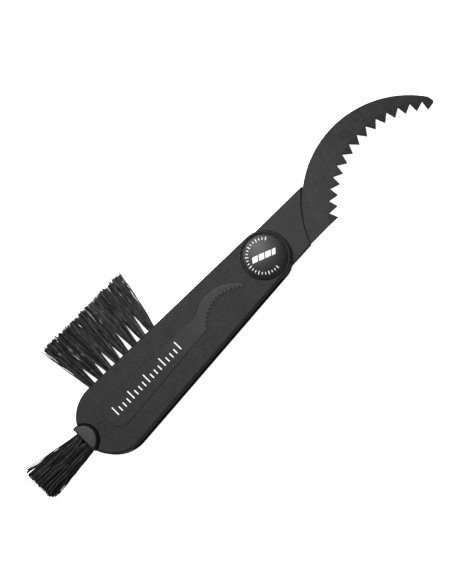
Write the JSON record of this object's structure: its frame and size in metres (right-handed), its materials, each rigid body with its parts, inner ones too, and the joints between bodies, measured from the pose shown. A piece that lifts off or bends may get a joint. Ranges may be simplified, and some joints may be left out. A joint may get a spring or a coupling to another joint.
{
  "type": "folding drivetrain brush",
  "caption": "Folding cleaning brush: flat tapered handle with a side row of bristle tufts, a small end brush, and a curved toothed claw that swings out on a capped pivot.",
  "frame": {"origin": "on the flat rear face of the handle, on the axis of the claw's pivot", "axes": "+X along the handle from the end brush to the unfolded claw, +Y towards the side brush, +Z out of the front face"},
  "size_m": [0.2746, 0.0689, 0.017],
  "materials": {
    "shell_plastic": "fine moulded texture, black",
    "claw_plastic": "fine moulded texture, black",
    "cap_plastic": "satin moulded, black, with plain white print",
    "holder_plastic": "smooth moulded, black",
    "block_plastic": "moulded, black",
    "bristle_nylon": "nylon filament, black",
    "steel": "zinc plated",
    "anchor_brass": "bright strip"
  },
  "bodies": {
    "handle": {"front_shell": "shell_plastic", "rear_shell": "shell_plastic", "pivot_cap": "cap_plastic", "pivot_screw": "steel", "pivot_sleeve": "steel", "front_washer": "steel", "rear_washer": "steel", "spring_washer": "steel", "brush_block": "block_plastic", "end_brush_holder": "holder_plastic", "side_tuft_1": "bristle_nylon", "side_tuft_2": "bristle_nylon", "side_tuft_3": "bristle_nylon", "side_tuft_4": "bristle_nylon", "side_tuft_5": "bristle_nylon", "side_tuft_6": "bristle_nylon", "side_tuft_7": "bristle_nylon", "side_tuft_8": "bristle_nylon", "end_tuft_1": "bristle_nylon", "end_tuft_2": "bristle_nylon", "end_tuft_3": "bristle_nylon", "end_tuft_4": "bristle_nylon", "side_anchor_1": "anchor_brass", "side_anchor_2": "anchor_brass", "side_anchor_3": "anchor_brass", "side_anchor_4": "anchor_brass", "side_anchor_5": "anchor_brass", "side_anchor_6": "anchor_brass", "side_anchor_7": "anchor_brass", "side_anchor_8": "anchor_brass", "end_anchor_1": "anchor_brass", "end_anchor_2": "anchor_brass", "end_anchor_3": "anchor_brass", "end_anchor_4": "anchor_brass", "shell_screw_1": "steel", "shell_screw_2": "steel", "shell_screw_3": "steel"},
    "claw": {"claw_arm": "claw_plastic"}
  },
  "joints": [
    {"name": "arm_fold", "type": "hinge", "parent": "handle", "child": "claw", "pos_m": [0, 0, 0.007], "axis": [0, 0, -1], "range_deg": [0, 180]}
  ]
}
